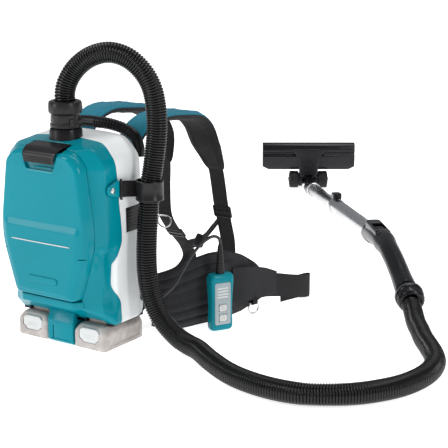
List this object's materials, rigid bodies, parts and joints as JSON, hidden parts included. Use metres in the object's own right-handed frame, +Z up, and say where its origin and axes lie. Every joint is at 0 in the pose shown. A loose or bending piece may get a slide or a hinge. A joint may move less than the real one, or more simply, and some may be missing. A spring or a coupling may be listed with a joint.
{
  "type": "backpack vacuum cleaner",
  "caption": "Backpack vacuum cleaner with a padded harness, wired remote control, ribbed suction hose and telescopic wand with a wheeled floor head.",
  "frame": {"origin": "centre of the pack footprint, on the ground under the block between the batteries", "axes": "+Z up, -Y the front of the pack, +Y the side of the wearer, where the harness and the wand lie, +X right when facing the pack front"},
  "size_m": [1.0954, 1.5617, 0.5582],
  "materials": {
    "teal_shell": "satin moulded ABS",
    "white_shell": "satin moulded ABS",
    "white_button": "satin",
    "black_plastic": "fine texture",
    "dark_plastic": "satin",
    "black_rubber": "matt",
    "black_fabric": "woven polyester",
    "teal_fabric": "woven polyester",
    "back_foam": "spacer mesh over foam",
    "pale_plastic": "satin",
    "filter_paper": "paper fleece",
    "copper": "wound motor can",
    "circuit_board": "solder resist",
    "steel": "bright",
    "chrome": "satin chrome"
  },
  "bodies": {
    "root": {"front_housing": "teal_shell", "battery_bridge": "teal_shell", "hose_lug": "teal_shell", "remote_body": "teal_shell", "rear_housing": "white_shell", "inlet_collar": "black_plastic", "battery_dock": "black_plastic", "outlet_grille": "black_plastic", "carry_handle": "black_plastic", "back_plate": "black_plastic", "strap_slider_left": "black_plastic", "strap_slider_right": "black_plastic", "chest_buckle": "black_plastic", "wand_handle": "black_plastic", "chamber_wall": "dark_plastic", "hose_band": "black_rubber", "vacuum_hose": "black_rubber", "remote_cable": "black_rubber", "remote_gland": "black_rubber", "cable_gland": "black_rubber", "lumbar_pad": "black_fabric", "belt_wing_left": "black_fabric", "belt_wing_right": "black_fabric", "waist_webbing": "black_fabric", "chest_strap": "black_fabric", "strap_webbing_left": "black_fabric", "strap_webbing_right": "black_fabric", "shoulder_strap_left": "teal_fabric", "shoulder_strap_right": "teal_fabric", "back_pad": "back_foam", "remote_panel": "pale_plastic", "dust_bag": "filter_paper", "hepa_filter": "filter_paper", "suction_motor": "copper", "controller_board": "circuit_board", "hinge_pin": "steel", "lug_screw": "steel", "outer_tube": "chrome"},
    "cover": {"dust_cover": "teal_shell"},
    "latch": {"cover_latch": "dark_plastic"},
    "fan": {"fan_impeller": "steel"},
    "pack_cuff": {"pack_cuff": "dark_plastic"},
    "battery_left": {"battery_left": "pale_plastic"},
    "battery_right": {"battery_right": "pale_plastic"},
    "button_left": {"battery_button_left": "white_button"},
    "button_right": {"battery_button_right": "white_button"},
    "remote_power": {"remote_button_power": "white_button"},
    "remote_mode": {"remote_button_mode": "white_button"},
    "slider": {"suction_slider": "dark_plastic"},
    "handle_cuff": {"handle_cuff": "dark_plastic"},
    "tube_lock": {"tube_lock": "black_plastic"},
    "inner_tube": {"inner_tube": "chrome"},
    "elbow": {"nozzle_elbow": "black_plastic"},
    "head": {"nozzle_head": "black_plastic", "nozzle_sole": "dark_plastic"},
    "wheel_left": {"wheel_left": "black_rubber"},
    "wheel_right": {"wheel_right": "black_rubber"},
    "waist_ring": {"waist_ring": "steel"}
  },
  "joints": [
    {"name": "cover_hinge", "type": "hinge", "parent": "root", "child": "cover", "pos_m": [0, -0.094, 0.103], "axis": [1, 0, 0], "range_deg": [0, 75]},
    {"name": "latch_hinge", "type": "hinge", "parent": "cover", "child": "latch", "pos_m": [0, -0.063, 0.379], "axis": [-1, 0, 0], "range_deg": [0, 45], "stiffness_Nm_per_rad": 0.1},
    {"name": "fan_spin", "type": "hinge", "parent": "root", "child": "fan", "pos_m": [0, -0.028, 0.122], "axis": [0, 1, 0], "continuous": true},
    {"name": "pack_cuff_swivel", "type": "hinge", "parent": "root", "child": "pack_cuff", "pos_m": [0, -0.027, 0.43], "axis": [0, 0, 1], "continuous": true},
    {"name": "battery_left_slide", "type": "slide", "parent": "root", "child": "battery_left", "axis": [0, -1, 0], "range_m": [0, 0.125]},
    {"name": "battery_right_slide", "type": "slide", "parent": "root", "child": "battery_right", "axis": [0, -1, 0], "range_m": [0, 0.125]},
    {"name": "battery_button_left_press", "type": "slide", "parent": "battery_left", "child": "button_left", "axis": [0, 1, 0], "range_m": [0, 0.0025], "stiffness_N_per_m": 400},
    {"name": "battery_button_right_press", "type": "slide", "parent": "battery_right", "child": "button_right", "axis": [0, 1, 0], "range_m": [0, 0.0025], "stiffness_N_per_m": 400},
    {"name": "remote_power_press", "type": "slide", "parent": "root", "child": "remote_power", "axis": [-0.866, 0.5, 0], "range_m": [0, 0.001], "stiffness_N_per_m": 600},
    {"name": "remote_mode_press", "type": "slide", "parent": "root", "child": "remote_mode", "axis": [-0.866, 0.5, 0], "range_m": [0, 0.001], "stiffness_N_per_m": 600},
    {"name": "suction_slider_slide", "type": "slide", "parent": "root", "child": "slider", "axis": [0.6433, -0.7656, 0], "range_m": [-0.003, 0.015]},
    {"name": "handle_cuff_swivel", "type": "hinge", "parent": "root", "child": "handle_cuff", "pos_m": [0.45792, 0.46047, 0.0476], "axis": [0.6242, -0.7429, -0.2419], "continuous": true},
    {"name": "tube_lock_slide", "type": "slide", "parent": "root", "child": "tube_lock", "axis": [0.641, -0.7629, 0.0844], "range_m": [0, 0.006], "stiffness_N_per_m": 300},
    {"name": "wand_slide", "type": "slide", "parent": "root", "child": "inner_tube", "axis": [0.641, -0.7629, 0.0844], "range_m": [0, 0.29]},
    {"name": "nozzle_swivel", "type": "hinge", "parent": "inner_tube", "child": "elbow", "pos_m": [-0.224, 1.272, 0.022], "axis": [0.641, -0.7629, 0.0844], "range_deg": [-90, 90]},
    {"name": "nozzle_tilt", "type": "hinge", "parent": "elbow", "child": "head", "pos_m": [-0.29507, 1.36902, 0.024], "axis": [0.8323, 0.5543, 0], "range_deg": [-85, 5]},
    {"name": "wheel_left_spin", "type": "hinge", "parent": "head", "child": "wheel_left", "pos_m": [-0.29507, 1.36902, 0.024], "axis": [0.8323, 0.5543, 0], "continuous": true},
    {"name": "wheel_right_spin", "type": "hinge", "parent": "head", "child": "wheel_right", "pos_m": [-0.29507, 1.36902, 0.024], "axis": [0.8323, 0.5543, 0], "continuous": true},
    {"name": "waist_ring_swing", "type": "hinge", "parent": "root", "child": "waist_ring", "pos_m": [0.209, 0.283, 0.0285], "axis": [-0.309, -0.9511, 0], "range_deg": [0, 70]}
  ]
}
